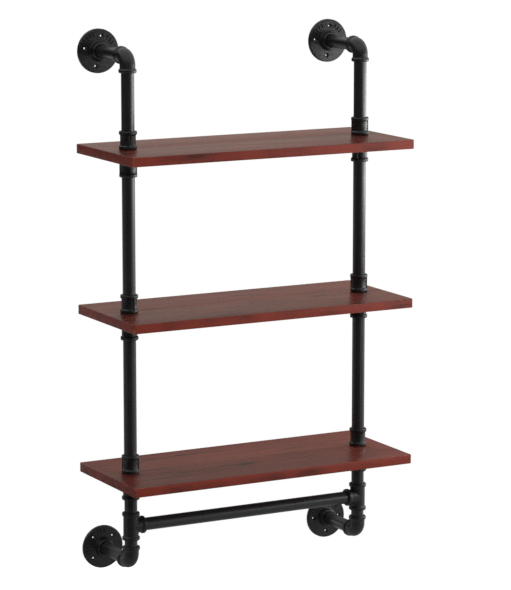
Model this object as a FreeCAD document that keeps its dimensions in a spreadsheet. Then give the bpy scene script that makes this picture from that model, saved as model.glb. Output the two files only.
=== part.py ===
"""Wall shelving unit of threaded pipe: three boards on two pipe columns, with a towel rod.

Millimetres. +X runs along the boards, +Y points at the wall and +Z is up. The origin is the
centre of the whole unit: midway between the columns, midway between the upper and lower
flanges, and midway from the front edge of the boards to the wall.
"""

import FreeCAD
import Part
import Sketcher
import os

# Driving sizes, kept in the document's sheet under these names.
DRIVING_SIZES = {
    "board_width": 609.6,
    "board_depth": 250.0,
    "board_thickness": 18.0,
    "board_corner_radius": 3.0,
    "board_edge_ease": 1.2,
    "board_hole_clearance": 1.0,
    "shelf_pitch": 314.5,
    "board_overhang": 50.8,
    "top_rise": 176.5,
    "bottom_drop": 177.8,
    "rod_drop": 106.0,
    "wall_distance": 134.0,
    "pipe_diameter": 25.0,
    "pipe_wall": 2.0,
    "thread_clearance": 0.05,
    "thread_engagement": 12.0,
    "fitting_diameter": 30.0,
    "passage_diameter": 20.0,
    "bead_diameter": 34.5,
    "bead_length": 6.5,
    "bead_taper": 1.0,
    "bead_chamfer": 1.0,
    "coupling_length": 35.0,
    "rib_width": 4.0,
    "rib_height": 1.8,
    "elbow_inner_radius": 3.5,
    "elbow_shoulder": 1.0,
    "tee_reach": 27.5,
    "flange_diameter": 86.0,
    "flange_thickness": 7.0,
    "flange_edge_chamfer": 1.2,
    "hub_height": 13.0,
    "hub_base_diameter": 37.0,
    "hub_tip_diameter": 34.0,
    "hub_tip_chamfer": 1.5,
    "hub_root_bevel": 1.5,
    "bolt_circle": 59.0,
    "screw_hole": 4.5,
    "countersink": 9.0,
}

# How far each flange is turned on its thread, in degrees clockwise as seen from the room.
FLANGE_TURNS = {
    "left_upper": 12.0,
    "right_upper": 6.0,
    "left_lower": 45.0,
    "right_lower": 0.0,
}

# How far the ribs of the upper and lower coupling at each shelf have come round on the
# thread, in degrees from +X.
RIB_TURNS = {
    "left_top_shelf": (-114.0, -28.0),
    "left_middle_shelf": (-76.0, 20.0),
    "left_bottom_shelf": (-35.0, -95.0),
    "right_top_shelf": (-25.0, 40.0),
    "right_middle_shelf": (-40.0, -80.0),
    "right_bottom_shelf": (-148.0, 10.0),
}

# Each shelf, from the top down, with the pipe that comes down to it.
SHELVES = (
    ("top_riser_pipe", "top_shelf"),
    ("upper_riser_pipe", "middle_shelf"),
    ("lower_riser_pipe", "bottom_shelf"),
)

FLANGE_HOLES = 4
COUPLING_RIBS = 2
COUNTERSINK_ANGLE = 90
QUARTER_TURN = 90
HALF_TURN = 180
FULL_TURN = 360

# Sketcher's own numbers for the ends of a line, the centre of a circle and the sketch's axes.
START_INDEX = 1
END_INDEX = 2
CENTRE_INDEX = 3
AXES_INDEX = -1
ACROSS_AXIS_INDEX = -1
UP_AXIS_INDEX = -2

X_DIRECTION = FreeCAD.Vector(1, 0, 0)
Y_DIRECTION = FreeCAD.Vector(0, 1, 0)
Z_DIRECTION = FreeCAD.Vector(0, 0, 1)


class Size:
    """A length in millimetres with the formula that ties it to the sheet."""

    def __init__(self, value, formula):
        self.value = value
        self.formula = formula

    def _join(self, sign, other, value):
        return Size(value, "(%s %s %s)" % (self.formula, sign, as_size(other).formula))

    def __add__(self, other):
        return self._join("+", other, self.value + as_size(other).value)

    def __sub__(self, other):
        return self._join("-", other, self.value - as_size(other).value)

    def __mul__(self, other):
        return self._join("*", other, self.value * as_size(other).value)

    def __truediv__(self, other):
        return self._join("/", other, self.value / as_size(other).value)

    def __neg__(self):
        return Size(-self.value, "(0 - %s)" % self.formula)


def as_size(number):
    """Takes a plain number or a Size and gives a Size."""
    if isinstance(number, Size):
        return number
    return Size(number, repr(number))


ZERO = Size(0, "0")


class Sheet:
    """The document's sheet of driving sizes; each one is read as an attribute."""

    def __init__(self, doc, sizes):
        cells = doc.addObject("Spreadsheet::Sheet", "Sizes")
        for row, (alias, value) in enumerate(sizes.items(), start=1):
            cells.set("A%d" % row, alias)
            cells.set("B%d" % row, str(value))
            cells.setAlias("B%d" % row, alias)
            setattr(self, alias, Size(value, "Sizes." + alias))


def bind(item, name, size):
    """Sets a property and ties it to its formula."""
    setattr(item, name, size.value)
    item.setExpression(name, size.formula)


def origin_feature(body, role):
    return next(f for f in body.Origin.OriginFeatures if f.Role == role)


def add_body(doc, label):
    body = doc.addObject("PartDesign::Body", label)
    body.Label = label
    return body


def place(body, rotation, position):
    """Puts a body in the unit's frame, its place tied to the sheet."""
    base = FreeCAD.Vector(*[coordinate.value for coordinate in position])
    body.Placement = FreeCAD.Placement(base, rotation)
    for axis, coordinate in zip("xyz", position):
        body.setExpression("Placement.Base." + axis, coordinate.formula)


def add_sketch(body, name, plane, offset=None):
    """An empty sketch on one of the body's origin planes, or parallel to it."""
    sketch = body.newObject("Sketcher::SketchObject", name)
    sketch.AttachmentSupport = [(origin_feature(body, plane), "")]
    sketch.MapMode = "FlatFace"
    if offset is not None:
        lift = FreeCAD.Vector(0, 0, offset.value)
        sketch.AttachmentOffset = FreeCAD.Placement(lift, FreeCAD.Rotation())
        sketch.setExpression("AttachmentOffset.Base.z", offset.formula)
    return sketch


def dimension(sketch, kind, where, size):
    """Adds one dimension to a sketch and ties it to its formula."""
    index = sketch.addConstraint(Sketcher.Constraint(kind, *where, size.value))
    sketch.setExpression("Constraints[%d]" % index, size.formula)


def pin(sketch, item, point, across, up):
    """Holds a point of a sketch at its distances from the sketch's axes."""
    ways = (("DistanceX", across, UP_AXIS_INDEX), ("DistanceY", up, ACROSS_AXIS_INDEX))
    for kind, size, axis in ways:
        if size is ZERO:
            sketch.addConstraint(Sketcher.Constraint("PointOnObject", item, point, axis))
        else:
            dimension(sketch, kind, (AXES_INDEX, START_INDEX, item, point), size)


def draw_outline(sketch, corners):
    """Draws a closed outline of straight lines through its corners."""
    points = [FreeCAD.Vector(across.value, up.value, 0) for across, up in corners]
    first = sketch.GeometryCount
    count = len(corners)
    for start, end in zip(points, points[1:] + points[:1]):
        sketch.addGeometry(Part.LineSegment(start, end), False)
    for step, (across, up) in enumerate(corners):
        line = first + step
        previous = first + (step - 1) % count
        meeting = (previous, END_INDEX, line, START_INDEX)
        sketch.addConstraint(Sketcher.Constraint("Coincident", *meeting))
        pin(sketch, line, START_INDEX, across, up)


def draw_circle(sketch, across, up, radius):
    middle = FreeCAD.Vector(across.value, up.value, 0)
    item = sketch.addGeometry(Part.Circle(middle, Z_DIRECTION, radius.value), False)
    pin(sketch, item, CENTRE_INDEX, across, up)
    dimension(sketch, "Radius", (item,), radius)


def draw_axis(sketch, corner, end):
    """Draws a construction line to revolve about, and names it as FreeCAD does."""
    ends = [FreeCAD.Vector(across.value, up.value, 0) for across, up in (corner, end)]
    item = sketch.addGeometry(Part.LineSegment(*ends), True)
    pin(sketch, item, START_INDEX, *corner)
    pin(sketch, item, END_INDEX, *end)
    return "Axis0"


def revolve(body, kind, name, sketch, axis, angle=FULL_TURN):
    """A PartDesign Revolution or Groove of a sketch about one of its axes."""
    feature = body.newObject("PartDesign::" + kind, name)
    feature.Profile = sketch
    feature.ReferenceAxis = (sketch, [axis])
    feature.Angle = angle
    return feature


def turn(body, name, corners, plane="XZ_Plane", kind="Revolution"):
    """Revolves an outline about the upright axis of its plane."""
    sketch = add_sketch(body, name + "Outline", plane)
    draw_outline(sketch, corners)
    return revolve(body, kind, name, sketch, "V_Axis")


def pad(body, name, sketch, length):
    feature = body.newObject("PartDesign::Pad", name)
    feature.Profile = sketch
    bind(feature, "Length", length)
    return feature


def repeat_around(body, name, feature, count):
    """Copies a feature round the body's Z axis."""
    pattern = body.newObject("PartDesign::PolarPattern", name)
    pattern.Originals = [feature]
    pattern.Axis = (origin_feature(body, "Z_Axis"), [""])
    pattern.Angle = FULL_TURN
    pattern.Occurrences = count
    body.Tip = pattern
    return pattern


def finish_edges(body, kind, name, amount, chosen):
    """Adds a Fillet or a Chamfer to the edges of the body so far that chosen() picks."""
    body.Document.recompute()
    base = body.Tip
    edges = ["Edge%d" % number for number, edge in enumerate(base.Shape.Edges, 1) if chosen(edge)]
    finish = body.newObject("PartDesign::" + kind, name)
    finish.Base = (base, edges)
    bind(finish, "Radius" if kind == "Fillet" else "Size", amount)
    return finish


def is_upright(edge):
    """Tells whether an edge starts off parallel to Z."""
    return abs(edge.tangentAt(edge.FirstParameter).z) > 0.9


class Unit:
    """The shelving unit: works out its levels from the sheet and builds its pieces."""

    def __init__(self, doc):
        self.doc = doc
        self.size = Sheet(doc, DRIVING_SIZES)
        self.bodies = []
        size = self.size
        self.pipe_radius = size.pipe_diameter / 2
        self.bore_radius = self.pipe_radius + size.thread_clearance
        self.passage_radius = size.passage_diameter / 2
        self.fitting_radius = size.fitting_diameter / 2
        self.bead_radius = size.bead_diameter / 2
        self.bend_radius = self.fitting_radius + size.elbow_inner_radius
        self.elbow_reach = self.bend_radius + size.thread_engagement + size.elbow_shoulder
        self.flange_height = size.flange_thickness + size.hub_height
        self.flange_level = (size.top_rise + size.shelf_pitch * 2 + size.bottom_drop) / 2
        self.pipe_y = (size.board_depth / 2 - size.wall_distance) / 2
        self.wall_y = self.pipe_y + size.wall_distance
        self.column_x = size.board_width / 2 - size.board_overhang

    def board_top(self, shelf):
        """Height of the top face of a board; shelf 0 is the top one."""
        return self.flange_level - self.size.top_rise - self.size.shelf_pitch * shelf

    def rod_level(self):
        lowest_shelf = len(SHELVES) - 1
        return self.board_top(lowest_shelf) - self.size.rod_drop

    def start(self, label):
        body = add_body(self.doc, label)
        self.bodies.append(body)
        return body

    # Pipe

    def pipe(self, label, length, rotation, position):
        """A straight length of pipe along its own Z from its own origin."""
        body = self.start(label)
        sketch = add_sketch(body, label + "_section", "XY_Plane")
        draw_circle(sketch, ZERO, ZERO, self.pipe_radius)
        draw_circle(sketch, ZERO, ZERO, self.pipe_radius - self.size.pipe_wall)
        pad(body, label + "_pad", sketch, length)
        place(body, rotation, position)

    def upright_pipe(self, label, x, bottom, top):
        self.pipe(label, top - bottom, FreeCAD.Rotation(), (x, self.pipe_y, bottom))

    def wall_nipple(self, label, x, level):
        """The pipe from an elbow to its wall flange."""
        engagement = self.size.thread_engagement
        near = self.pipe_y + self.elbow_reach
        far = self.wall_y - self.flange_height
        towards_wall = FreeCAD.Rotation(X_DIRECTION, -QUARTER_TURN)
        length = far - near + engagement * 2
        self.pipe(label, length, towards_wall, (x, near - engagement, level))

    def hanging_rod(self):
        """The pipe between the side outlets of the two tees."""
        size = self.size
        inside = size.tee_reach - size.thread_engagement
        towards_right = FreeCAD.Rotation(Y_DIRECTION, QUARTER_TURN)
        start = inside - self.column_x
        length = (self.column_x - inside) * 2
        self.pipe("hanging_rod", length, towards_right, (start, self.pipe_y, self.rod_level()))

    # Fittings

    def beaded_end(self, mouth, inward):
        """Outer corners of a beaded end, from its mouth to the plain body.

        inward is 1 or -1: the direction from the mouth into the fitting.
        """
        size = self.size
        behind_bead = mouth + size.bead_length * inward
        return [
            (self.bead_radius - size.bead_chamfer, mouth),
            (self.bead_radius, mouth + size.bead_chamfer * inward),
            (self.bead_radius, behind_bead),
            (self.fitting_radius, behind_bead + size.bead_taper * inward),
        ]

    def coupling(self, label, x, bottom, rib_turn):
        """A ribbed coupling, threaded right through: the two pipes meet in its middle."""
        size = self.size
        body = self.start(label)
        length = size.coupling_length
        turn(body, label + "_casting", [
            (self.bore_radius, ZERO),
            *self.beaded_end(ZERO, 1),
            *reversed(self.beaded_end(length, -1)),
            (self.bore_radius, length),
        ])
        sketch = add_sketch(body, label + "_rib_section", "XY_Plane", size.bead_length / 2)
        root = (self.bore_radius + self.fitting_radius) / 2
        tip = self.fitting_radius + size.rib_height
        side = size.rib_width / 2
        draw_outline(sketch, [(root, -side), (tip, -side), (tip, side), (root, side)])
        rib = pad(body, label + "_rib", sketch, length - size.bead_length)
        repeat_around(body, label + "_ribs", rib, COUPLING_RIBS)
        place(body, FreeCAD.Rotation(Z_DIRECTION, rib_turn), (x, self.pipe_y, bottom))

    def elbow_leg(self, body, name, plane):
        """One beaded and bored leg of an elbow, from the end of the bend to the mouth."""
        reach = self.elbow_reach
        seat = reach - self.size.thread_engagement
        turn(body, name, [
            *self.beaded_end(reach, -1),
            (self.fitting_radius, self.bend_radius),
            (self.passage_radius, self.bend_radius),
            (self.passage_radius, seat),
            (self.bore_radius, seat),
            (self.bore_radius, reach),
        ], plane)

    def elbow(self, label, x, level, points_down):
        """A right-angle elbow with its axes meeting at its own origin."""
        body = self.start(label)
        self.elbow_leg(body, label + "_upright_leg", "XZ_Plane")
        sketch = add_sketch(body, label + "_bend_section", "XY_Plane", self.bend_radius)
        draw_circle(sketch, ZERO, ZERO, self.fitting_radius)
        draw_circle(sketch, ZERO, ZERO, self.passage_radius)
        hinge = draw_axis(
            sketch, (ZERO, self.bend_radius), (self.bend_radius, self.bend_radius),
        )
        revolve(body, "Revolution", label + "_bend", sketch, hinge, QUARTER_TURN)
        self.elbow_leg(body, label + "_wall_leg", "XY_Plane")
        rotation = FreeCAD.Rotation(Y_DIRECTION, HALF_TURN if points_down else 0)
        place(body, rotation, (x, self.pipe_y, level))

    def tee_branch(self, body, kind, name, corners):
        """Adds or cuts the side outlet of a tee: corners are pairs of radius and reach."""
        sketch = add_sketch(body, name + "_outline", "XZ_Plane")
        middle = self.size.tee_reach
        draw_outline(sketch, [(reach, middle + radius) for radius, reach in corners])
        axis = draw_axis(sketch, (ZERO, middle), (middle, middle))
        revolve(body, kind, name, sketch, axis)

    def tee(self, label, x, faces_right):
        """A tee that carries one end of the rod, its own origin at its lower mouth."""
        size = self.size
        body = self.start(label)
        reach = size.tee_reach
        run = reach * 2
        engagement = size.thread_engagement
        turn(body, label + "_run", [
            (ZERO, ZERO),
            *self.beaded_end(ZERO, 1),
            *reversed(self.beaded_end(run, -1)),
            (ZERO, run),
        ])
        self.tee_branch(body, "Revolution", label + "_outlet", [
            *self.beaded_end(reach, -1),
            (self.fitting_radius, ZERO),
            (ZERO, ZERO),
            (ZERO, reach),
        ])
        turn(body, label + "_run_bore", [
            (ZERO, ZERO),
            (self.bore_radius, ZERO),
            (self.bore_radius, engagement),
            (self.passage_radius, engagement),
            (self.passage_radius, run - engagement),
            (self.bore_radius, run - engagement),
            (self.bore_radius, run),
            (ZERO, run),
        ], kind="Groove")
        self.tee_branch(body, "Groove", label + "_outlet_bore", [
            (ZERO, ZERO),
            (self.passage_radius, ZERO),
            (self.passage_radius, reach - engagement),
            (self.bore_radius, reach - engagement),
            (self.bore_radius, reach),
            (ZERO, reach),
        ])
        rotation = FreeCAD.Rotation(Z_DIRECTION, 0 if faces_right else HALF_TURN)
        place(body, rotation, (x, self.pipe_y, self.rod_level() - reach))

    def flange(self, label, x, level, hole_turn):
        """A wall flange: a round plate with a tapered hub and countersunk screw holes."""
        size = self.size
        body = self.start(label)
        plate_radius = size.flange_diameter / 2
        hub_base = size.hub_base_diameter / 2
        hub_tip = size.hub_tip_diameter / 2
        face = size.flange_thickness
        height = self.flange_height
        seat = height - size.thread_engagement
        turn(body, label + "_casting", [
            (self.passage_radius, ZERO),
            (plate_radius, ZERO),
            (plate_radius, face - size.flange_edge_chamfer),
            (plate_radius - size.flange_edge_chamfer, face),
            (hub_base + size.hub_root_bevel, face),
            (hub_base, face + size.hub_root_bevel),
            (hub_tip, height - size.hub_tip_chamfer),
            (hub_tip - size.hub_tip_chamfer, height),
            (self.bore_radius, height),
            (self.bore_radius, seat),
            (self.passage_radius, seat),
        ])
        sketch = add_sketch(body, label + "_hole_centre", "XY_Plane", face)
        draw_circle(sketch, ZERO, size.bolt_circle / 2, size.screw_hole / 2)
        self.doc.recompute()
        hole = body.newObject("PartDesign::Hole", label + "_hole")
        hole.Profile = sketch
        hole.DepthType = "ThroughAll"
        bind(hole, "Diameter", size.screw_hole)
        hole.HoleCutType = "Countersink"
        bind(hole, "HoleCutDiameter", size.countersink)
        hole.HoleCutCountersinkAngle = COUNTERSINK_ANGLE
        repeat_around(body, label + "_holes", hole, FLANGE_HOLES)
        to_room = FreeCAD.Rotation(X_DIRECTION, QUARTER_TURN)
        turned = to_room.multiply(FreeCAD.Rotation(Z_DIRECTION, -hole_turn))
        place(body, turned, (x, self.wall_y, level))

    # Boards

    def board(self, label, shelf):
        """A board with two holes for the columns, its corners rounded and its edges eased."""
        size = self.size
        body = self.start(label)
        half_width = size.board_width / 2
        half_depth = size.board_depth / 2
        sketch = add_sketch(body, label + "_outline", "XY_Plane")
        draw_outline(sketch, [
            (-half_width, -half_depth),
            (half_width, -half_depth),
            (half_width, half_depth),
            (-half_width, half_depth),
        ])
        for hole_x in (-self.column_x, self.column_x):
            draw_circle(sketch, hole_x, ZERO, self.pipe_radius + size.board_hole_clearance)
        pad(body, label + "_pad", sketch, size.board_thickness)
        finish_edges(
            body, "Fillet", label + "_corners", size.board_corner_radius,
            lambda edge: is_upright(edge) and abs(edge.CenterOfMass.y) > half_depth.value / 2,
        )
        finish_edges(
            body, "Chamfer", label + "_eased_edges", size.board_edge_ease,
            lambda edge: not is_upright(edge) and not edge.isClosed(),
        )
        underside = self.board_top(shelf) - size.board_thickness
        place(body, FreeCAD.Rotation(), (ZERO, self.pipe_y, underside))

    # Assembly

    def column(self, side, x):
        """One pipe column, from its upper wall flange down to its lower one."""
        size = self.size
        coupling = size.coupling_length
        upper = self.flange_level
        lower = -self.flange_level
        rod_level = self.rod_level()
        elbow_seat = self.elbow_reach - size.thread_engagement
        tee_seat = size.tee_reach - size.thread_engagement
        self.flange(side + "_upper_wall_flange", x, upper, FLANGE_TURNS[side + "_upper"])
        self.wall_nipple(side + "_upper_wall_nipple", x, upper)
        self.elbow(side + "_upper_elbow", x, upper, True)
        pipe_top = upper - elbow_seat
        for shelf, (riser, shelf_name) in enumerate(SHELVES):
            top_face = self.board_top(shelf)
            bottom_face = top_face - size.board_thickness
            upper_middle = top_face + coupling / 2
            lower_middle = bottom_face - coupling / 2
            at_shelf = side + "_" + shelf_name
            rib_turns = RIB_TURNS[at_shelf]
            self.upright_pipe(side + "_" + riser, x, upper_middle, pipe_top)
            self.coupling(at_shelf + "_upper_coupling", x, top_face, rib_turns[0])
            self.upright_pipe(at_shelf + "_nipple", x, lower_middle, upper_middle)
            self.coupling(at_shelf + "_lower_coupling", x, bottom_face - coupling, rib_turns[1])
            pipe_top = lower_middle
        self.upright_pipe(side + "_tee_upper_nipple", x, rod_level + tee_seat, pipe_top)
        self.tee(side + "_rod_tee", x, side == "left")
        self.upright_pipe(side + "_tee_lower_nipple", x, lower + elbow_seat, rod_level - tee_seat)
        self.elbow(side + "_lower_elbow", x, lower, False)
        self.wall_nipple(side + "_lower_wall_nipple", x, lower)
        self.flange(side + "_lower_wall_flange", x, lower, FLANGE_TURNS[side + "_lower"])

    def build(self):
        for shelf, name in enumerate(("top", "middle", "bottom")):
            self.board(name + "_shelf_board", shelf)
        self.column("left", -self.column_x)
        self.column("right", self.column_x)
        self.hanging_rod()
        self.doc.recompute()


def check(doc, bodies):
    """Stops if a feature failed or a piece isn't one valid solid."""
    for item in doc.Objects:
        if "Invalid" in item.State or "Error" in item.State:
            raise RuntimeError("%s failed: %s" % (item.Label, item.State))
    for body in bodies:
        shape = body.Shape
        if shape.isNull() or not shape.isValid() or len(shape.Solids) != 1:
            raise RuntimeError("%s isn't one valid solid" % body.Label)


def main():
    doc = FreeCAD.newDocument("PipeShelvingUnit")
    unit = Unit(doc)
    unit.build()
    check(doc, unit.bodies)
    os.makedirs("parts", exist_ok=True)
    for body in unit.bodies:
        body.Shape.exportStep("parts/%s.step" % body.Label)
    print("%d pieces written" % len(unit.bodies))


main()
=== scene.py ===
"""Wall shelving unit of black threaded pipe and stained boards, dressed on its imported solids.

Metres, +X along the boards, +Y into the wall and +Z up, in the frame of the solids. The straight
pipes keep their solids and get a coat. The cast fittings and the boards are modelled again with
the rounded beads, cast marks and eased edges of the real ones, each in the place of its solid.
"""

from __future__ import annotations

import logging
import math
from dataclasses import dataclass
from enum import Enum
from typing import Callable, Sequence

import bmesh
import bpy
from bpy.types import Material, Node, NodeSocket, NodeTree, Object
from mathutils import Matrix, Vector

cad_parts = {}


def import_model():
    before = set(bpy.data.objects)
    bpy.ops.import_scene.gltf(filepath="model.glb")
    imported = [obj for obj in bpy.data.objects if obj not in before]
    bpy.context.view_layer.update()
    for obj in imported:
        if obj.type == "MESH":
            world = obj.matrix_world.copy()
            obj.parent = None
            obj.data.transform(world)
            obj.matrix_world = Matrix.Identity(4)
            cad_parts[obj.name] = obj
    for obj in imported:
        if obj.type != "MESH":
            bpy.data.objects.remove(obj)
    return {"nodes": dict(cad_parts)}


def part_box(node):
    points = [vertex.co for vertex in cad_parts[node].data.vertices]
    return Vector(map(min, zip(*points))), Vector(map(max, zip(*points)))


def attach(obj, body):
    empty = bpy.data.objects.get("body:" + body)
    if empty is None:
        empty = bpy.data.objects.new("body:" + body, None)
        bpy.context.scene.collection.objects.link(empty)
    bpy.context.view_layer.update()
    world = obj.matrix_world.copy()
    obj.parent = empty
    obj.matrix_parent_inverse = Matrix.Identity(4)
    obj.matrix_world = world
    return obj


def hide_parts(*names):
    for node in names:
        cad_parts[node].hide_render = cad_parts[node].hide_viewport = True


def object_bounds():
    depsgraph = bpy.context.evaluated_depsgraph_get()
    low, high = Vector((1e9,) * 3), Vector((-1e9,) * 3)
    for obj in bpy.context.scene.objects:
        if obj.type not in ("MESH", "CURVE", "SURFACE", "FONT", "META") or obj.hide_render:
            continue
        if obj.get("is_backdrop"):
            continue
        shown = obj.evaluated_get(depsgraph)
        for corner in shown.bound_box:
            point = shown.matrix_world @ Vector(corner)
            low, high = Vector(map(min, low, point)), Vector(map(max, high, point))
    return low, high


LOG = logging.getLogger("shelving_unit")
BODY = "root"

Profile = Sequence[tuple[float, float]]
Part = bmesh.types.BMEdge | bmesh.types.BMFace


class Slot(Enum):
    """Material slot names for the modelled pieces, passed to stand_for but not used there."""

    FITTING = "cast_fitting"
    BOARD = "stained_board"


class Side(Enum):
    """The two pipe columns, as seen from the room."""

    LEFT = "left"
    RIGHT = "right"


class Shelf(Enum):
    """The three boards, from the top down."""

    TOP = "top"
    MIDDLE = "middle"
    BOTTOM = "bottom"


class Level(Enum):
    """The two rows of wall flanges and elbows."""

    UPPER = "upper"
    LOWER = "lower"


def mm(length: float) -> float:
    """Gives a length in metres from one in millimetres."""
    return length / 1000


def per_mm(length: float) -> float:
    """Gives a texture's scale from the real size of its pattern in millimetres."""
    return 1000 / length


def linear(hex_colour: str) -> tuple[float, float, float, float]:
    """Turns an sRGB hex colour into linear light with full alpha.

    Args:
        hex_colour: six hex digits after a hash sign.

    Returns:
        Red, green, blue and alpha.
    """
    levels = [int(hex_colour[place : place + 2], 16) / 255 for place in (1, 3, 5)]
    red, green, blue = (
        level / 12.92 if level <= 0.04045 else ((level + 0.055) / 1.055) ** 2.4 for level in levels
    )
    return red, green, blue, 1.0


# Modelling tools


def deselect_all() -> None:
    """Leaves nothing selected, in object mode, as a new primitive needs."""
    if bpy.context.object is not None and bpy.context.object.mode != "OBJECT":
        bpy.ops.object.mode_set(mode="OBJECT")
    bpy.ops.object.select_all(action="DESELECT")


def select_only(piece: Object) -> None:
    """Leaves only one piece selected, which the next operator acts on.

    Args:
        piece: the piece.
    """
    deselect_all()
    piece.select_set(True)
    bpy.context.view_layer.objects.active = piece


def name_new(name: str) -> Object:
    """Names the object that an operator just added, and its data.

    Args:
        name: the piece's name.

    Returns:
        The new object.
    """
    piece = bpy.context.object
    piece.name = name
    piece.data.name = name
    return piece


def apply_modifier(piece: Object, kind: str, **settings: object) -> None:
    """Adds a modifier, sets it up and applies it.

    Args:
        piece: the mesh object.
        kind: the modifier's type.
        settings: its properties by name.
    """
    select_only(piece)
    modifier = piece.modifiers.new(kind.lower(), kind)
    for name, value in settings.items():
        setattr(modifier, name, value)
    bpy.ops.object.modifier_apply(modifier=modifier.name)


def round_edges(piece: Object, width: float, segments: int, angle: float = 25) -> None:
    """Rounds every edge that turns by more than an angle.

    Args:
        piece: the mesh object.
        width: how far the rounding reaches from the edge.
        segments: its number of flats.
        angle: the least turn in degrees.
    """
    apply_modifier(
        piece, "BEVEL", width=width, segments=segments,
        limit_method="ANGLE", angle_limit=math.radians(angle),
    )


def combine(piece: Object, tool: Object, operation: str) -> None:
    """Joins or cuts with another solid, which is then deleted.

    Args:
        piece: the mesh object that stays.
        tool: the solid that is added or taken away.
        operation: UNION or DIFFERENCE.
    """
    apply_modifier(piece, "BOOLEAN", object=tool, operation=operation, solver="EXACT")
    bpy.data.objects.remove(tool)


def settle(piece: Object, matrix: Matrix) -> None:
    """Moves a piece by a matrix and leaves its object at the origin.

    Args:
        piece: the mesh object.
        matrix: its rotation and place.
    """
    piece.data.transform(matrix)
    piece.matrix_world = Matrix.Identity(4)
    piece.data.update()


def copy_piece(piece: Object, name: str, matrix: Matrix) -> Object:
    """Copies a piece with a mesh of its own and puts the copy in its place.

    Args:
        piece: the pattern, in its own frame.
        name: the copy's name.
        matrix: the copy's place.

    Returns:
        The copy.
    """
    copied = piece.copy()
    copied.data = piece.data.copy()
    copied.name = name
    copied.data.name = name
    bpy.context.scene.collection.objects.link(copied)
    settle(copied, matrix)
    return copied


def smooth(piece: Object, angle: float = 32) -> None:
    """Shades a piece smooth except at edges sharper than an angle in degrees."""
    select_only(piece)
    bpy.ops.object.shade_smooth_by_angle(angle=math.radians(angle))


def tidy_mesh(piece: Object, weld: float = mm(0.005)) -> None:
    """Merges doubled points and turns every face outwards.

    Args:
        piece: the mesh object.
        weld: the distance within which points become one.
    """
    select_only(piece)
    bpy.ops.object.mode_set(mode="EDIT")
    bpy.ops.mesh.select_all(action="SELECT")
    bpy.ops.mesh.remove_doubles(threshold=weld)
    bpy.ops.mesh.normals_make_consistent(inside=False)
    bpy.ops.object.mode_set(mode="OBJECT")


def select_parts(piece: Object, kind: str, chosen: Callable[[Part], bool]) -> None:
    """Enters edit mode with only some edges or faces selected.

    Args:
        piece: the mesh object.
        kind: EDGE or FACE.
        chosen: tells whether a part is wanted.
    """
    select_only(piece)
    bpy.ops.object.mode_set(mode="EDIT")
    bpy.ops.mesh.select_mode(type=kind)
    bpy.ops.mesh.select_all(action="DESELECT")
    edit_mesh = bmesh.from_edit_mesh(piece.data)
    for part in edit_mesh.edges if kind == "EDGE" else edit_mesh.faces:
        part.select = chosen(part)
    bmesh.update_edit_mesh(piece.data)


class RingWalk:
    """A round wall drawn ring by ring in edit mode, as on a lathe that can also turn a bend."""

    def __init__(self, name: str, radius: float, centre: Vector, along: Vector, count: int) -> None:
        """Draws the first ring.

        Args:
            name: the new piece's name.
            radius: the ring's radius.
            centre: its centre.
            along: the direction of the walk.
            count: the ring's number of points.
        """
        deselect_all()
        turn = Vector((0, 0, 1)).rotation_difference(along).to_euler()
        bpy.ops.mesh.primitive_circle_add(
            vertices=count, radius=radius, fill_type="NOTHING", location=centre, rotation=turn
        )
        self.piece = name_new(name)
        bpy.ops.object.transform_apply()
        bpy.ops.object.mode_set(mode="EDIT")
        bpy.ops.mesh.select_mode(type="VERT")
        bpy.ops.mesh.select_all(action="SELECT")
        self.radius = radius
        self.centre = centre.copy()
        self.along = along.copy()

    def step(self, radius: float, advance: float) -> None:
        """Extrudes the last ring along the walk and scales it to its new radius.

        Args:
            radius: the next ring's radius.
            advance: how far along the walk it lies, negative to go back.
        """
        move = self.along * advance
        bpy.ops.mesh.extrude_region_move(TRANSFORM_OT_translate={"value": move})
        self.centre += move
        scale = radius / self.radius
        bpy.ops.transform.resize(value=(scale,) * 3, center_override=self.centre)
        self.radius = radius

    def follow(self, profile: Profile, start: float) -> None:
        """Walks through pairs of radius and distance from the walk's own start.

        Args:
            profile: the rings to draw.
            start: the distance of the ring that is there already.
        """
        for radius, distance in profile:
            self.step(radius, distance - start)
            start = distance

    def bend(self, hinge: Vector, axis: Vector, angle: float, steps: int) -> None:
        """Sweeps the last ring round a hinge.

        Args:
            hinge: a point on the bend's axis.
            axis: the axis of the bend.
            angle: the turn in radians, by the right-hand rule.
            steps: the number of rings in the bend.
        """
        # The operator turns against the right-hand rule.
        bpy.ops.mesh.spin(steps=steps, angle=-angle, center=hinge, axis=axis)
        turn = Matrix.Rotation(angle, 4, axis)
        self.centre = hinge + turn @ (self.centre - hinge)
        self.along = turn @ self.along

    def close(self) -> Object:
        """Leaves edit mode and merges the points that lie on each other, in one closed wall.

        Returns:
            The finished piece.
        """
        bpy.ops.object.mode_set(mode="OBJECT")
        tidy_mesh(self.piece)
        return self.piece


def turned_wall(name: str, profile: Profile, count: int) -> Object:
    """Turns a closed section about +Z into a hollow solid.

    Args:
        name: the piece's name.
        profile: pairs of radius and height round the section, none of them on the axis.
        count: points round the axis.

    Returns:
        The new piece.
    """
    (radius, height), *rest = profile
    walk = RingWalk(name, radius, Vector((0, 0, height)), Vector((0, 0, 1)), count)
    walk.follow([*rest, (radius, height)], height)
    return walk.close()


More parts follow.
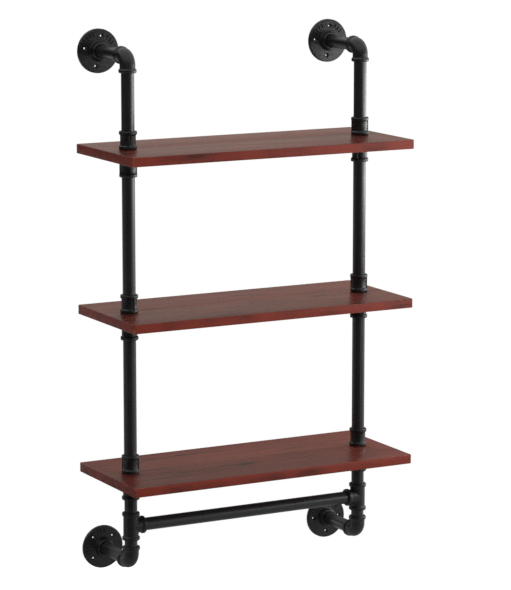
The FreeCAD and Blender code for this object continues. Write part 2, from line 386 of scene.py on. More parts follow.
def turned_solid(name: str, profile: Profile, count: int) -> Object:
    """Turns an open section about +Z and fills its two flat ends.

    Args:
        name: the piece's name.
        profile: pairs of radius and height from one end to the other.
        count: points round the axis.

    Returns:
        The new piece.
    """
    (radius, height), *rest = profile
    walk = RingWalk(name, radius, Vector((0, 0, height)), Vector((0, 0, 1)), count)
    walk.follow(rest, height)
    bpy.ops.mesh.edge_face_add()
    bpy.ops.mesh.select_all(action="DESELECT")
    bpy.ops.object.mode_set(mode="OBJECT")
    for vertex in walk.piece.data.vertices[:count]:
        vertex.select = True
    bpy.ops.object.mode_set(mode="EDIT")
    bpy.ops.mesh.edge_face_add()
    return walk.close()


def turned(degrees: float, axis: str = "Z") -> Matrix:
    """Gives a turn about an axis."""
    return Matrix.Rotation(math.radians(degrees), 4, axis)


def block(name: str, centre: Vector, size: Vector, rounding: float = 0) -> Object:
    """Makes a block.

    Args:
        name: the piece's name.
        centre: its middle.
        size: its lengths along X, Y and Z.
        rounding: how far its edges are rounded, if at all.

    Returns:
        The new piece.
    """
    deselect_all()
    bpy.ops.mesh.primitive_cube_add(size=1, location=centre)
    piece = name_new(name)
    piece.scale = size
    bpy.ops.object.transform_apply()
    if rounding:
        round_edges(piece, rounding, segments=3, angle=60)
    return piece


# Materials


def add_node(
    tree: NodeTree, kind: str, inputs: dict[str | int, object] | None = None, **settings: object
) -> Node:
    """Adds a node with its settings, values and links.

    Args:
        tree: the material's node tree.
        kind: the node's type without its ShaderNode prefix.
        inputs: by the input's name or number, a value, the socket to link from, or the node
            whose first output to link from.
        settings: the node's own properties.

    Returns:
        The new node.
    """
    node = tree.nodes.new("ShaderNode" + kind)
    for name, value in settings.items():
        setattr(node, name, value)
    for socket, value in (inputs or {}).items():
        if isinstance(value, Node):
            value = value.outputs[0]
        if isinstance(value, NodeSocket):
            tree.links.new(value, node.inputs[socket])
        else:
            node.inputs[socket].default_value = value
    return node


def new_tree(name: str) -> tuple[Material, NodeTree]:
    """Makes an empty material.

    Args:
        name: the material's name.

    Returns:
        The material and its node tree.
    """
    material = bpy.data.materials.new(name)
    material.use_nodes = True
    material.node_tree.nodes.clear()
    return material, material.node_tree


# Sockets of the Mix node when it mixes colours.
MIX_A = 6
MIX_B = 7
MIX_RESULT = 2


@dataclass(frozen=True)
class CoatedMetal:
    """A black polyester powder coat, baked on: satin, with a fine orange peel.

    On drawn pipe it lies smooth. On a sand casting it shows the sand's grain.
    """

    name: str
    colour: str
    pale_colour: str
    roughness: float
    roughness_spread: float
    grain_mm: float
    grain_height_mm: float
    peel_mm: float
    peel_height_mm: float
    patch_mm: float = 45.0
    ior: float = 1.5

    def build(self) -> Material:
        """Builds the coat, paler where grain and patches meet.

        Returns:
            The material.
        """
        material, tree = new_tree(self.name)
        place = add_node(tree, "TexCoord").outputs["Object"]
        patches, grain, peel = (
            add_node(tree, "TexNoise", {
                "Vector": place, "Scale": per_mm(size), "Detail": detail, "Roughness": roughness,
            })
            for size, detail, roughness in (
                (self.patch_mm, 4.0, 0.6), (self.grain_mm, 3.0, 0.65), (self.peel_mm, 1.0, 0.5),
            )
        )
        speckle = add_node(tree, "MapRange", {
            "Value": grain, "From Min": 0.45, "From Max": 0.75, "To Min": 0.0, "To Max": 0.6,
        })
        pale_marks = add_node(tree, "Math", {0: speckle, 1: patches}, operation="MULTIPLY")
        colour = add_node(tree, "Mix", {
            0: pale_marks, MIX_A: linear(self.colour), MIX_B: linear(self.pale_colour),
        }, data_type="RGBA").outputs[MIX_RESULT]
        gloss = add_node(tree, "MapRange", {
            "Value": patches, "From Min": 0.3, "From Max": 0.7,
            "To Min": self.roughness - self.roughness_spread,
            "To Max": self.roughness + self.roughness_spread,
        })
        peel_bump = add_node(tree, "Bump", {
            "Height": peel, "Strength": 1.0, "Distance": mm(self.peel_height_mm),
        })
        bump = add_node(tree, "Bump", {
            "Height": grain, "Strength": 1.0, "Distance": mm(self.grain_height_mm),
            "Normal": peel_bump,
        })
        shader = add_node(tree, "BsdfPrincipled", {
            "Base Color": colour, "Roughness": gloss, "IOR": self.ior, "Normal": bump,
        })
        add_node(tree, "OutputMaterial", {"Surface": shader})
        return material


@dataclass(frozen=True)
class StainedPine:
    """Solid pine with a mahogany stain under a thin matte lacquer.

    The stain soaks into the soft early wood and leaves the late wood's lines, and it goes
    nearly black in knots. The sawn sides take it redder and in patches, and have no knots. The
    eased edges, most of all near the ends, show a pale pink that is partly the stain rubbed
    through in handling and partly a painted highlight. The fibres are drawn coarser than real
    ones, to show.
    """

    name: str = "mahogany_stained_pine"
    stain: str = "#793930"
    sawn_stain: str = "#8f392b"
    deep_stain: str = "#58281f"
    knot: str = "#24110e"
    # Pale pink of the eased edges: partly wear, partly a painted highlight.
    scuff_and_highlight: str = "#b8705c"
    roughness: float = 0.27
    sawn_roughness: float = 0.3
    ior: float = 1.38
    ring_mm: float = 9.0
    ring_share: float = 0.3
    ring_height_mm: float = 0.25
    streak_mm: float = 14.0
    blotch_mm: float = 110.0
    fibre_mm: float = 1.6
    fibre_height_mm: float = 0.14
    stretch: float = 16.0
    fleck_mm: float = 8.0
    fleck_stretch: float = 13.0
    knot_mm: float = 35.0
    # Size of the pale edge patches and where along the board they start: wear and painted highlight
    # alike.
    edge_patch_mm: float = 9.0
    plain_edge_to_mm: float = 230.0
    marked_edge_from_mm: float = 302.0

    def build(self) -> Material:
        """The pale pink of the eased edges is partly wear and partly a painted highlight.

        Returns:
            The material.
        """
        material, tree = new_tree(self.name)
        place = add_node(tree, "TexCoord").outputs["Object"]
        sawn_side = add_node(tree, "Attribute", attribute_name="sawn_side").outputs["Fac"]
        edge = add_node(tree, "Attribute", attribute_name="eased_edge").outputs["Fac"]
        along_board = add_node(tree, "SeparateXYZ", {0: place}).outputs["X"]
        from_middle = add_node(tree, "Math", {0: along_board}, operation="ABSOLUTE")
        heart = add_node(tree, "Mapping", {
            "Vector": place, "Location": (0, mm(20), mm(70)),
            "Rotation": (0, math.radians(2.5), math.radians(1.5)), "Scale": (0.25, 1, 1),
        })
        rings = add_node(tree, "TexWave", {
            "Vector": heart, "Scale": per_mm(self.ring_mm) / (2 * math.pi), "Distortion": 5.0,
            "Detail": 3.0, "Detail Scale": 6.0, "Detail Roughness": 0.55,
        }, wave_type="RINGS", rings_direction="X", wave_profile="SIN").outputs["Fac"]
        along_grain, short_grain = (
            add_node(tree, "Mapping", {"Vector": place, "Scale": (1 / stretch, 1, 1)})
            for stretch in (self.stretch, self.fleck_stretch)
        )
        streaks, fibres, flecks, knot_places, blotches, edge_patch_noise = (
            add_node(tree, "TexNoise", {
                "Vector": where, "Scale": per_mm(size), "Detail": detail,
                "Roughness": roughness, "Distortion": distortion,
            })
            for where, size, detail, roughness, distortion in (
                (along_grain, self.streak_mm, 5.0, 0.62, 0.35),
                (along_grain, self.fibre_mm, 2.0, 0.7, 0.0),
                (short_grain, self.fleck_mm, 3.0, 0.55, 0.6),
                (short_grain, self.knot_mm, 2.0, 0.5, 0.0),
                (place, self.blotch_mm, 3.0, 0.5, 0.0),
                (place, self.edge_patch_mm, 3.0, 0.5, 0.0),
            )
        )
        depth, soaked, side_soaked, dark_flecks, near_knots, edge_patchiness, near_ends, even_gloss = (
            add_node(tree, "MapRange", {
                "Value": value, "From Min": low, "From Max": high, "To Min": least, "To Max": most,
            })
            for value, low, high, least, most in (
                (streaks, 0.36, 0.66, 0.0, 0.6),
                (blotches, 0.4, 0.62, 0.4, 0.9),
                (blotches, 0.4, 0.62, 0.1, 1.5),
                (flecks, 0.56, 0.6, 0.0, 0.95),
                (knot_places, 0.48, 0.58, 0.0, 1.0),
                (edge_patch_noise, 0.42, 0.62, 0.0, 0.75),
                (from_middle, mm(self.plain_edge_to_mm), mm(self.marked_edge_from_mm), 0.1, 1.0),
                (streaks, 0.3, 0.7, self.roughness - 0.03, self.roughness + 0.04),
            )
        )

        # The stain, deeper along streaks and rings and redder on the sawn sides
        ring_depth = add_node(tree, "Math", {0: rings, 1: self.ring_share}, operation="MULTIPLY")
        mixed_depth = add_node(tree, "Math", {0: depth, 1: ring_depth}, operation="ADD")
        soaking = add_node(tree, "Mix", {0: sawn_side, 2: soaked, 3: side_soaked})
        patchy_depth = add_node(tree, "Math", {0: mixed_depth, 1: soaking}, operation="MULTIPLY")
        stain = add_node(tree, "Mix", {
            0: sawn_side, MIX_A: linear(self.stain), MIX_B: linear(self.sawn_stain),
        }, data_type="RGBA").outputs[MIX_RESULT]
        wood = add_node(tree, "Mix", {
            0: patchy_depth, MIX_A: stain, MIX_B: linear(self.deep_stain),
        }, data_type="RGBA", clamp_factor=True).outputs[MIX_RESULT]

        # The flecks that gather round knots on the broad faces
        clustered = add_node(tree, "Math", {0: dark_flecks, 1: near_knots}, operation="MULTIPLY")
        broad_face = add_node(tree, "Math", {0: 1.0, 1: sawn_side}, operation="SUBTRACT")
        knots = add_node(tree, "Math", {0: clustered, 1: broad_face}, operation="MULTIPLY")
        knotted = add_node(tree, "Mix", {
            0: knots, MIX_A: wood, MIX_B: linear(self.knot),
        }, data_type="RGBA").outputs[MIX_RESULT]

        # The eased edges, pale pink most of all near the board's ends: partly the stain rubbed
        # through, partly a painted highlight
        marked_edge = add_node(tree, "Math", {0: edge, 1: edge_patchiness}, operation="MULTIPLY")
        scuff_and_highlight = add_node(tree, "Math", {0: marked_edge, 1: near_ends}, operation="MULTIPLY")
        colour = add_node(tree, "Mix", {
            0: scuff_and_highlight, MIX_A: knotted, MIX_B: linear(self.scuff_and_highlight),
        }, data_type="RGBA").outputs[MIX_RESULT]

        gloss = add_node(tree, "Math", {
            0: sawn_side, 1: self.sawn_roughness, 2: even_gloss,
        }, operation="MULTIPLY_ADD")
        relief = add_node(tree, "Bump", {
            "Height": rings, "Strength": 0.5, "Distance": mm(self.ring_height_mm),
        })
        bump = add_node(tree, "Bump", {
            "Height": fibres, "Strength": 0.5, "Distance": mm(self.fibre_height_mm),
            "Normal": relief,
        })
        shader = add_node(tree, "BsdfPrincipled", {
            "Base Color": colour, "Roughness": gloss, "IOR": self.ior, "Normal": bump,
        })
        add_node(tree, "OutputMaterial", {"Surface": shader})
        return material


# Drawn steel pipe under the coat: even and satin, so it shows the lamps as soft-edged strips.
PIPE_COAT = CoatedMetal(
    name="powder_coated_steel_pipe", colour="#28282a", pale_colour="#37383a",
    roughness=0.3, roughness_spread=0.05,
    grain_mm=3.0, grain_height_mm=0.014, peel_mm=2.4, peel_height_mm=0.02,
)

# Malleable iron cast in sand, under the same coat: the sand's grain breaks up the shine. The
# grain is drawn at about 3 mm, coarser than the real half millimetre, so that it shows.
CAST_COAT = CoatedMetal(
    name="powder_coated_cast_iron", colour="#151617", pale_colour="#434447",
    roughness=0.38, roughness_spread=0.06,
    grain_mm=3.2, grain_height_mm=0.45, peel_mm=5.0, peel_height_mm=0.05,
)


# The unit's pieces


def dress(piece: Object, material: Material) -> None:
    """Gives a piece one material in place of any it had."""
    piece.data.materials.clear()
    piece.data.materials.append(material)


def stand_for(piece: Object, node: str, slot: Slot) -> None:
    """Lets a modelled piece stand for a solid.

    Args:
        piece: the modelled piece, in its place.
        node: the solid's name.
        slot: the piece's material slot; not used.
    """
    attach(piece, BODY)
    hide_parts(node)
    LOG.info("%s: %d faces", piece.name, len(piece.data.polygons))


@dataclass
class BeadedEnd:
    """The threaded end that every fitting has: a bore with a rounded bead round its mouth."""

    bore: float = mm(12.55)
    body: float = mm(15)
    bead: float = mm(17.25)
    bead_length: float = mm(6.5)
    lip: float = mm(1.2)
    taper: float = mm(1.4)
    mouth_chamfer: float = mm(0.9)

    def outside(self, mouth: float, inward: int) -> list[tuple[float, float]]:
        """Gives the outer section from the bore's edge over the bead to the plain body.

        Args:
            mouth: where the mouth lies along the axis.
            inward: 1 or -1, the direction from the mouth into the fitting.

        Returns:
            Pairs of radius and distance along the axis.
        """
        back = mouth + self.bead_length * inward
        return [
            (self.bore + self.mouth_chamfer, mouth),
            (self.bead - self.lip, mouth),
            (self.bead, mouth + self.lip * inward),
            (self.bead, back - self.lip * 0.5 * inward),
            (self.bead - self.lip * 0.6, back + self.lip * 0.2 * inward),
            (self.body, back + self.taper * inward),
        ]


@dataclass
class Castings:
    """The patterns of the four kinds of fitting, each cast once and copied into place."""

    material: Material
    end: BeadedEnd
    points: int = 64
    passage: float = mm(10)
    engagement: float = mm(12)
    casting_edge: float = mm(0.5)
    overcut: float = mm(1)
    coupling_length: float = mm(35)
    rib_width: float = mm(4)
    rib_height: float = mm(1.8)
    rib_root: float = mm(1.2)
    rib_edge: float = mm(1.3)
    bend_radius: float = mm(18.5)
    bend_steps: int = 14
    elbow_reach: float = mm(31.5)
    tee_reach: float = mm(27.5)
    tee_grain: float = mm(0.6)
    flange_radius: float = mm(43)
    flange_points: int = 96
    flange_thickness: float = mm(7)
    flange_height: float = mm(20)
    flange_chamfer: float = mm(1.4)
    flange_edge: float = mm(0.6)
    hub_root: float = mm(18.5)
    hub_tip: float = mm(17)
    hub_chamfer: float = mm(1.5)
    hub_fillet: float = mm(2)
    fillet_middle: float = 0.35
    bolt_circle_radius: float = mm(29.5)
    screw_radius: float = mm(2.25)
    screw_points: int = 32
    countersink_radius: float = mm(4.5)
    mark_radius: float = mm(33)
    mark_width: float = mm(2.2)
    mark_length: float = mm(8)
    mark_height: float = mm(1.7)
    mark_root: float = mm(0.5)
    mark_edge: float = mm(0.25)
    mark_turns: tuple[float, ...] = (66, 54, 42, 30, -26, -38, -50)

    def coupling(self) -> Object:
        """Casts a ribbed coupling on +Z, its lower mouth at the origin and a rib towards +X.

        Returns:
            The pattern.
        """
        length = self.coupling_length
        end = self.end
        coupling = turned_wall("coupling_pattern", [
            (end.bore, end.mouth_chamfer),
            *end.outside(0, 1),
            *reversed(end.outside(length, -1)),
            (end.bore, length - end.mouth_chamfer),
        ], self.points)
        round_edges(coupling, self.casting_edge, segments=2)
        for turn in (0, 180):
            reach = end.body + self.rib_height
            depth = self.rib_height + self.rib_root
            rib = block(
                "rib", Vector((reach - depth / 2, 0, length / 2)),
                Vector((depth, self.rib_width, length - end.bead_length)), self.rib_edge,
            )
            settle(rib, turned(turn))
            combine(coupling, rib, "UNION")
        return self.finish(coupling)

    def elbow(self) -> Object:
        """Casts an elbow from a mouth towards +Z to a mouth towards +Y, its axes meeting at 0.

        Returns:
            The pattern.
        """
        end = self.end
        bend = self.bend_radius
        reach = self.elbow_reach
        seat = reach - self.engagement
        hinge = Vector((0, bend, bend))
        axis = Vector((1, 0, 0))
        quarter = math.pi / 2
        walk = RingWalk(
            "elbow_pattern", end.bore, Vector((0, 0, reach - end.mouth_chamfer)),
            Vector((0, 0, -1)), self.points,
        )
        inward = [(radius, reach - height) for radius, height in end.outside(reach, -1)]
        walk.follow([*inward, (end.body, reach - bend)], end.mouth_chamfer)
        walk.bend(hinge, axis, quarter, self.bend_steps)
        outward = reversed(end.outside(reach, -1))
        walk.follow([*outward, (end.bore, reach - end.mouth_chamfer)], bend)
        walk.follow([
            (end.bore, seat), (self.passage, seat), (self.passage, bend),
        ], reach - end.mouth_chamfer)
        walk.bend(hinge, axis, -quarter, self.bend_steps)
        walk.along = Vector((0, 0, 1))
        walk.follow([
            (self.passage, seat), (end.bore, seat), (end.bore, reach - end.mouth_chamfer),
        ], bend)
        elbow = walk.close()
        round_edges(elbow, self.casting_edge, segments=2)
        return self.finish(elbow)

    def tee(self) -> Object:
        """Casts a tee on +Z, its lower mouth at the origin and its side outlet towards +X.

        Returns:
            The pattern.
        """
        end = self.end
        reach = self.tee_reach
        run = reach * 2
        tee = turned_solid("tee_pattern", [
            *end.outside(0, 1)[1:], *reversed(end.outside(run, -1)[1:]),
        ], self.points)
        outlet = turned_solid("outlet", [
            (end.body, 0), *reversed(end.outside(reach, -1)[1:]),
        ], self.points)
        sideways = Matrix.Translation((0, 0, reach)) @ turned(90, "Y")
        settle(outlet, sideways)
        combine(tee, outlet, "UNION")
        # One even skin lets the run flow into the outlet before the bores are cut.
        apply_modifier(tee, "REMESH", mode="VOXEL", voxel_size=self.tee_grain)
        apply_modifier(tee, "SMOOTH", factor=0.5, iterations=3)
        deep = self.engagement
        beyond = self.overcut
        flare = end.bore + end.mouth_chamfer
        run_bore = turned_solid("run_bore", [
            (flare + beyond, -beyond), (flare, 0), (end.bore, end.mouth_chamfer), (end.bore, deep),
            (self.passage, deep), (self.passage, run - deep), (end.bore, run - deep),
            (end.bore, run - end.mouth_chamfer), (flare, run), (flare + beyond, run + beyond),
        ], self.points)
        outlet_bore = turned_solid("outlet_bore", [
            (self.passage, 0), (self.passage, reach - deep), (end.bore, reach - deep),
            (end.bore, reach - end.mouth_chamfer), (flare, reach), (flare + beyond, reach + beyond),
        ], self.points)
        settle(outlet_bore, sideways)
        combine(tee, run_bore, "DIFFERENCE")
        combine(tee, outlet_bore, "DIFFERENCE")
        return self.finish(tee)

    def flange(self) -> Object:
        """Casts a wall flange on +Z with its back at the origin and a screw hole towards +Y.

        Returns:
            The pattern.
        """
        end = self.end
        face = self.flange_thickness
        height = self.flange_height
        seat = height - self.engagement
        rim = self.flange_radius
        fillet = self.hub_fillet
        fillet_middle = fillet * self.fillet_middle
        flange = turned_wall("flange_pattern", [
            (self.passage, 0),
            (rim, 0),
            (rim, face - self.flange_chamfer),
            (rim - self.flange_chamfer, face),
            (self.hub_root + fillet, face),
            (self.hub_root + fillet_middle, face + fillet_middle),
            (self.hub_root, face + fillet),
            (self.hub_tip, height - self.hub_chamfer),
            (self.hub_tip - self.hub_chamfer, height),
            (end.bore + end.mouth_chamfer, height),
            (end.bore, height - end.mouth_chamfer),
            (end.bore, seat),
            (self.passage, seat),
        ], self.flange_points)
        round_edges(flange, self.flange_edge, segments=3)
        for turn in self.mark_turns:
            mark = self.cast_mark()
            settle(mark, turned(turn))
            combine(flange, mark, "UNION")
        for turn in (0, 90, 180, 270):
            hole = self.screw_hole()
            settle(hole, turned(turn))
            combine(flange, hole, "DIFFERENCE")
        return self.finish(flange)

    def screw_hole(self) -> Object:
        """Makes the cutter of a countersunk screw hole.

        Returns:
            The cutter, towards +Y on the bolt circle.
        """
        face = self.flange_thickness
        beyond = self.overcut
        sink = self.countersink_radius - self.screw_radius
        hole = turned_solid("screw_hole", [
            (self.screw_radius, -beyond), (self.screw_radius, face - sink),
            (self.countersink_radius, face), (self.countersink_radius + beyond, face + beyond),
        ], self.screw_points)
        settle(hole, Matrix.Translation((0, self.bolt_circle_radius, 0)))
        return hole

    def cast_mark(self) -> Object:
        """Makes a raised casting mark: a plain bar, sunk a little into the face.

        Returns:
            The bar, towards +Y on the face.
        """
        middle = self.flange_thickness + (self.mark_height - self.mark_root) / 2
        return block(
            "cast_mark", Vector((0, self.mark_radius, middle)),
            Vector((self.mark_width, self.mark_length, self.mark_height + self.mark_root)),
            self.mark_edge,
        )

    def finish(self, pattern: Object) -> Object:
        """Merges, shades and coats a pattern.

        Args:
            pattern: the modelled fitting.

        Returns:
            The same object.
        """
        tidy_mesh(pattern)
        smooth(pattern)
        dress(pattern, self.material)
        return pattern


@dataclass
class PipeColumn:
    """One column: its pipes, couplings, elbows, tee and wall flanges."""

    side: Side
    rib_turns: dict[Shelf, tuple[float, float]]
    flange_turns: dict[Level, float]

    def node(self, name: str) -> str:
        """Gives the full name of one of this side's solids."""
        return f"{self.side.value}_{name}"

    def middle(self, name: str) -> Vector:
        """Gives the middle of the box of one of this side's solids."""
        low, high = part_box(self.node(name))
        return (low + high) / 2

    def put(self, pattern: Object, node: str, place: tuple[float, ...], turn: Matrix) -> None:
        """Puts a copy of a pattern in the place of one of this side's solids.

        Args:
            pattern: the casting.
            node: the solid's name without its side.
            place: where the pattern's origin goes.
            turn: how it is turned.
        """
        name = self.node(node)
        piece = copy_piece(pattern, name + "_casting", Matrix.Translation(place) @ turn)
        stand_for(piece, name, Slot.FITTING)

    def couplings(self, pattern: Object) -> None:
        """Puts the couplings above and under each board.

        Args:
            pattern: the coupling.
        """
        for shelf, turns in self.rib_turns.items():
            for where, turn in zip(("upper", "lower"), turns):
                node = f"{shelf.value}_shelf_{where}_coupling"
                low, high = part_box(self.node(node))
                middle = (low + high) / 2
                self.put(pattern, node, (middle.x, middle.y, low.z), turned(turn))

    def elbows(self, pattern: Object) -> None:
        """Puts the two elbows where the column's axis meets the wall pipes' axes.

        Args:
            pattern: the elbow.
        """
        column = self.middle("top_riser_pipe")
        for level, turn in ((Level.UPPER, 180), (Level.LOWER, 0)):
            branch = self.middle(f"{level.value}_wall_nipple")
            place = (column.x, column.y, branch.z)
            self.put(pattern, f"{level.value}_elbow", place, turned(turn, "Y"))

    def tee(self, pattern: Object) -> None:
        """Puts the tee, its outlet towards the rod.

        Args:
            pattern: the tee.
        """
        low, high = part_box(self.node("rod_tee"))
        axis = self.middle("tee_upper_nipple")
        turn = 0 if self.side is Side.LEFT else 180
        self.put(pattern, "rod_tee", (axis.x, axis.y, low.z), turned(turn))

    def flanges(self, pattern: Object) -> None:
        """Puts the wall flanges, each turned as its thread stopped.

        Args:
            pattern: the flange.
        """
        for level, turn in self.flange_turns.items():
            node = f"{level.value}_wall_flange"
            low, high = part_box(self.node(node))
            middle = (low + high) / 2
            place = (middle.x, high.y, middle.z)
            self.put(pattern, node, place, turned(90, "X") @ turned(-turn))


@dataclass
class Board:
    """One shelf board with rounded corners, eased edges and a hole for each column."""

    shelf: Shelf
    material: Material
    corner_radius: float = mm(3)
    edge_radius: float = mm(1.6)
    hole_radius: float = mm(13.5)
    hole_points: int = 48
    overcut: float = mm(2)
    upright: float = 0.99
    square: float = 0.999
    sideways: float = 0.5

    def build(self) -> None:
        """Models the board in the place of its solid."""
        node = f"{self.shelf.value}_shelf_board"
        low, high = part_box(node)
        board = self.plank(node + "_plank", low, high)
        self.drill(board, low, high)
        round_edges(board, self.edge_radius, segments=4, angle=50)
        self.mark_faces(board)
        smooth(board, angle=40)
        dress(board, self.material)
        stand_for(board, node, Slot.BOARD)

    def plank(self, name: str, low: Vector, high: Vector) -> Object:
        """Makes the sawn board with its upright corners rounded.

        Args:
            name: the piece's name.
            low: the solid's lowest corner.
            high: its highest corner.

        Returns:
            The plank.
        """
        plank = block(name, (low + high) / 2, high - low)
        select_parts(plank, "EDGE", self.is_upright)
        bpy.ops.mesh.bevel(offset=self.corner_radius, segments=5, affect="EDGES")
        bpy.ops.object.mode_set(mode="OBJECT")
        return plank

    def is_upright(self, edge: Part) -> bool:
        """Tells whether an edge stands upright."""
        first, second = edge.verts
        return abs((second.co - first.co).normalized().z) > self.upright

    def drill(self, board: Object, low: Vector, high: Vector) -> None:
        """Drills the two holes that the columns pass through.

        Args:
            board: the plank.
            low: its lowest corner.
            high: its highest corner.
        """
        for side in Side:
            pipe_low, pipe_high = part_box(f"{side.value}_{self.shelf.value}_shelf_nipple")
            axis = (pipe_low + pipe_high) / 2
            drill = turned_solid("drill", [
                (self.hole_radius, low.z - self.overcut),
                (self.hole_radius, high.z + self.overcut),
            ], self.hole_points)
            settle(drill, Matrix.Translation((axis.x, axis.y, 0)))
            combine(board, drill, "DIFFERENCE")

    def mark_faces(self, board: Object) -> None:
        """The eased edges take a pale pink that is partly wear and partly a painted highlight.

        Args:
            board: the board.
        """
        pale_marks = board.data.attributes.new("eased_edge", "FLOAT", "FACE")
        sawn = board.data.attributes.new("sawn_side", "FLOAT", "FACE")
        for polygon in board.data.polygons:
            squareness = max(abs(part) for part in polygon.normal)
            # Eased edges carry the pale pink, partly wear and partly a painted highlight.
            pale_marks.data[polygon.index].value = float(squareness < self.square)
            sawn.data[polygon.index].value = float(abs(polygon.normal.z) < self.sideways)


# The studio


@dataclass(frozen=True)
class Softbox:
    """A rectangular lamp with an even, soft face.

    One that isn't mirrored lights glossy surfaces without showing in them.
    """

    name: str
    place: tuple[float, float, float]
    aims_at: tuple[float, float, float]
    width: float
    height: float
    brightness: float
    mirrored: bool = True

    def build(self) -> None:
        """Hangs the lamp, its power worked out from the brightness of its face."""
        deselect_all()
        bpy.ops.object.light_add(type="AREA", location=self.place)
        lamp = name_new(self.name)
        aim = Vector(self.aims_at) - Vector(self.place)
        lamp.rotation_euler = aim.to_track_quat("-Z", "Y").to_euler()
        lamp.data.shape = "RECTANGLE"
        lamp.data.size = self.width
        lamp.data.size_y = self.height
        lamp.data.energy = self.brightness * math.pi * self.width * self.height
        lamp.visible_camera = False
        lamp.visible_glossy = self.mirrored


@dataclass
class Studio:
    """The floor, the dark side of the room, the lamps and the camera."""

    floor_colour: str = "#9c9c9c"
    floor_gap: float = 0.32
    floor_radius: float = 1.3
    floor_lift: float = 0.82
    floor_fade: tuple[float, float] = (0.35, 0.95)
    mirrored_lift: float = 0.15
    ambient: float = 0.22
    card_place: tuple[float, float, float] = (0.85, 1.55, 0.3)
    card_width: float = 3.0
    card_height: float = 2.2
    card_colour: str = "#fffaee"
    card_low: float = 0.14
    card_high: float = 0.38
    card_fade: tuple[float, float] = (-0.05, 0.4)
    felt_colour: str = "#2c2c2c"
    room_radius: float = 9.0
    room_height: float = 9.0
    room_top: float = 4.6
    open_from: float = -35.0
    open_to: float = 100.0
    camera_place: tuple[float, float, float] = (-2.57298, -4.84294, 0.97005)
    camera_yaw: float = 28.188
    camera_pitch: float = 9.899
    focal_length: float = 173.59
    film_height: float = 36.0

    def floor(self, lowest: float) -> None:
        """Lays a matt white floor that keeps the unit's shadow and fades into the background.

        Args:
            lowest: the height of the unit's lowest point.
        """
        deselect_all()
        bpy.ops.mesh.primitive_circle_add(
            vertices=96, radius=self.floor_radius, fill_type="NGON",
            location=(0, 0, lowest - self.floor_gap),
        )
        floor = name_new("studio_floor")
        bpy.ops.object.transform_apply()
        material, tree = new_tree("white_painted_floor")
        path = add_node(tree, "LightPath").outputs
        mirrored = self.any_of(tree, path["Is Glossy Ray"], path["Is Transmission Ray"])
        faint = add_node(tree, "Math", {0: mirrored, 1: self.mirrored_lift}, operation="MULTIPLY")
        seen = self.any_of(tree, path["Is Camera Ray"], faint)
        place = add_node(tree, "TexCoord").outputs["Object"]
        flat = add_node(tree, "Mapping", {"Vector": place, "Scale": (1, 1, 0)})
        distance = add_node(tree, "VectorMath", {0: flat}, operation="LENGTH").outputs["Value"]
        fade_from, fade_to = self.floor_fade
        rim = add_node(tree, "MapRange", {
            "Value": distance, "From Min": self.floor_radius * fade_from,
            "From Max": self.floor_radius * fade_to, "To Min": self.floor_lift, "To Max": 1.0,
        })
        lift = add_node(tree, "Math", {0: seen, 1: rim}, operation="MULTIPLY")
        paint = add_node(tree, "BsdfPrincipled", {
            "Base Color": linear(self.floor_colour), "Roughness": 0.9,
            "Emission Color": linear("#ffffff"), "Emission Strength": lift,
        })
        add_node(tree, "OutputMaterial", {"Surface": paint})
        dress(floor, material)
        floor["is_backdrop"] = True

    def any_of(self, tree: NodeTree, *flags: Node | NodeSocket) -> Node | NodeSocket:
        """Gives the greatest of some flags.

        Args:
            tree: the nodes that the flags are in.
            flags: values from 0 to 1.

        Returns:
            A value that is 1 where any of the flags is 1.
        """
        total = flags[0]
        for flag in flags[1:]:
            total = add_node(tree, "Math", {0: total, 1: flag}, operation="MAXIMUM")
        return total

    def world(self) -> None:
        """Sets a soft overall light and a white background."""
        world = bpy.data.worlds.new("white_studio")
        bpy.context.scene.world = world
        world.use_nodes = True
        tree = world.node_tree
        tree.nodes.clear()
        path = add_node(tree, "LightPath").outputs
        seen = self.any_of(
            tree, path["Is Camera Ray"], path["Is Glossy Ray"], path["Is Transmission Ray"]
        )
        strength = add_node(tree, "MapRange", {
            "Value": seen, "To Min": self.ambient, "To Max": 1.0,
        })
        light = add_node(tree, "Background", {"Color": linear("#ffffff"), "Strength": strength})
        add_node(tree, "OutputWorld", {"Surface": light})

    def dark_room(self) -> None:
        """Stands a wall of black felt round the camera's side, open to the right and behind."""
        deselect_all()
        bpy.ops.mesh.primitive_cylinder_add(
            vertices=90, radius=self.room_radius, depth=self.room_height, end_fill_type="NOTHING",
            location=(0, 0, self.room_top - self.room_height / 2),
        )
        room = name_new("dark_room")
        bpy.ops.object.transform_apply()
        select_parts(room, "FACE", self.is_open)
        bpy.ops.mesh.delete(type="FACE")
        bpy.ops.object.mode_set(mode="OBJECT")
        material, tree = new_tree("black_felt")
        felt = add_node(tree, "BsdfPrincipled", {
            "Base Color": linear(self.felt_colour), "Roughness": 1.0,
        })
        self.hang(room, material, tree, felt)

    def is_open(self, face: Part) -> bool:
        """Tells whether a face of the room lies in its open part.

        Args:
            face: the face.

        Returns:
            True between the two azimuths that the room is open at.
        """
        centre = face.calc_center_median()
        azimuth = math.degrees(math.atan2(centre.y, centre.x))
        return self.open_from < azimuth < self.open_to

    def grey_card(self) -> None:
        """Stands a card behind the unit, paler towards its top, which the boards' tops reflect."""
        deselect_all()
        away = math.atan2(self.card_place[1], self.card_place[0])
        bpy.ops.mesh.primitive_plane_add(size=1)
        card = name_new("grey_card")
        card.scale = (self.card_width, self.card_height, 1)
        card.rotation_euler = (math.pi / 2, 0, away - math.pi / 2)
        card.location = self.card_place
        bpy.ops.object.transform_apply()
        material, tree = new_tree("grey_card")
        place = add_node(tree, "TexCoord").outputs["Object"]
        height = add_node(tree, "SeparateXYZ", {0: place}).outputs["Z"]
        fade_from, fade_to = self.card_fade
        glow = add_node(tree, "MapRange", {
            "Value": height, "From Min": fade_from, "From Max": fade_to,
            "To Min": self.card_low, "To Max": self.card_high,
        })
        grey = add_node(tree, "Emission", {"Color": linear(self.card_colour), "Strength": glow})
        self.hang(card, material, tree, grey)

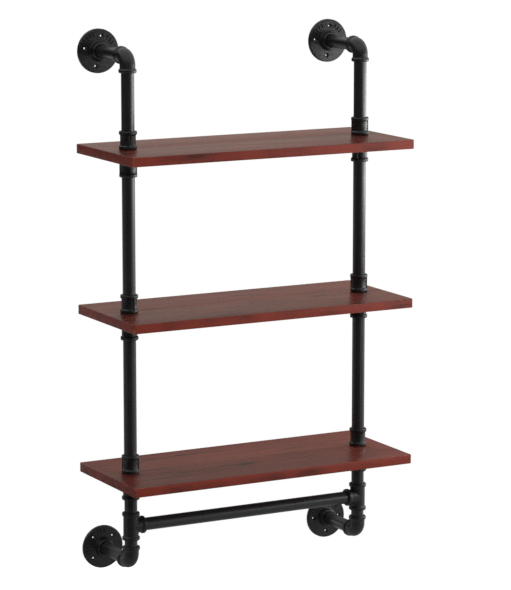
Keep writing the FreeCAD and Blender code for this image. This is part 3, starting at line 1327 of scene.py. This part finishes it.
    def hang(self, screen: Object, material: Material, tree: NodeTree, cover: Node) -> None:
        """Covers a screen that the camera doesn't see and that casts no shadow.

        Args:
            screen: the screen.
            material: its material.
            tree: the material's nodes.
            cover: the shader of its face.
        """
        add_node(tree, "OutputMaterial", {"Surface": cover})
        dress(screen, material)
        screen.visible_camera = False
        screen.visible_shadow = False
        screen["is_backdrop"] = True

    def camera(self) -> None:
        """Sets up the camera and the plain view transform."""
        data = bpy.data.cameras.new("camera")
        data.sensor_fit = "VERTICAL"
        data.sensor_height = self.film_height
        data.sensor_width = self.film_height
        data.lens = self.focal_length
        data.clip_end = 100.0
        camera = bpy.data.objects.new("camera", data)
        camera.location = self.camera_place
        camera.rotation_euler = (
            math.radians(90 - self.camera_pitch), 0, -math.radians(self.camera_yaw)
        )
        bpy.context.scene.collection.objects.link(camera)
        bpy.context.scene.camera = camera
        bpy.context.scene.view_settings.view_transform = "Standard"

    def build(self, lowest: float) -> None:
        """Sets up everything round the unit.

        Args:
            lowest: the height of the unit's lowest point.
        """
        self.camera()
        self.world()
        self.floor(lowest)
        self.dark_room()
        self.grey_card()
        for lamp in LAMPS:
            lamp.build()


# The lamp at the side is in two parts: its upper part isn't mirrored, or the boards' tops would
# show it as a glare from behind.
LAMPS = (
    Softbox("side_softbox", (1.5, -0.5, 0.14), (0.05, 0, 0.03), 2.2, 0.34, 7.2),
    Softbox("side_top_fill", (1.5, -0.5, 0.48), (0.05, 0, 0.37), 2.2, 0.36, 4.2, mirrored=False),
    Softbox("back_softbox", (0.62, 0.95, 1.35), (0.05, 0, 0), 0.6, 0.6, 14.5, mirrored=False),
    Softbox("front_fill", (-2.4, -4.3, 1.5), (0, 0, 0), 1.6, 1.2, 9.0, mirrored=False),
    Softbox("right_front_fill", (1.32, -2.7, -0.3), (0, 0, -0.2), 1.06, 2.4, 0.8),
    Softbox("left_fill", (-1.75, 0.75, -0.6), (0, 0, -0.6), 3.0, 1.5, 0.28),
    Softbox("left_back_strip", (-0.7, 1.4, -0.35), (0, 0, -0.35), 0.4, 0.8, 1.0),
)

# How far each coupling's rib is turned from +X, in degrees: above and under each board.
RIB_TURNS = {
    Side.LEFT: {Shelf.TOP: (-114, -28), Shelf.MIDDLE: (-76, 20), Shelf.BOTTOM: (-35, -95)},
    Side.RIGHT: {Shelf.TOP: (-25, 40), Shelf.MIDDLE: (-40, -80), Shelf.BOTTOM: (-148, 10)},
}

# How far each flange is turned clockwise as seen from the room, in degrees.
FLANGE_TURNS = {
    Side.LEFT: {Level.UPPER: 12, Level.LOWER: -45},
    Side.RIGHT: {Level.UPPER: 6, Level.LOWER: 0},
}


def build_fittings() -> None:
    """Casts the four kinds of fitting and puts a copy in every place."""
    castings = Castings(CAST_COAT.build(), BeadedEnd())
    coupling = castings.coupling()
    elbow = castings.elbow()
    tee = castings.tee()
    flange = castings.flange()
    for side in Side:
        column = PipeColumn(side, RIB_TURNS[side], FLANGE_TURNS[side])
        column.couplings(coupling)
        column.elbows(elbow)
        column.tee(tee)
        column.flanges(flange)
    for pattern in (coupling, elbow, tee, flange):
        bpy.data.objects.remove(pattern)


def dress_pipes(nodes: dict[str, Object]) -> None:
    """Coats every straight pipe, which keeps its solid.

    Args:
        nodes: the frame's solids by name.
    """
    coat = PIPE_COAT.build()
    for name, node in nodes.items():
        if not node.hide_render:
            dress(node, coat)
            LOG.info("%s: coated", name)


def main() -> None:
    """Builds the unit and its studio."""
    logging.basicConfig(level=logging.INFO, format="%(message)s")
    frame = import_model()
    solids_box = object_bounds()
    build_fittings()
    pine = StainedPine().build()
    for shelf in Shelf:
        Board(shelf, pine).build()
    dress_pipes(frame["nodes"])
    Studio().build(solids_box[0].z)


if __name__ == "__main__":
    main()
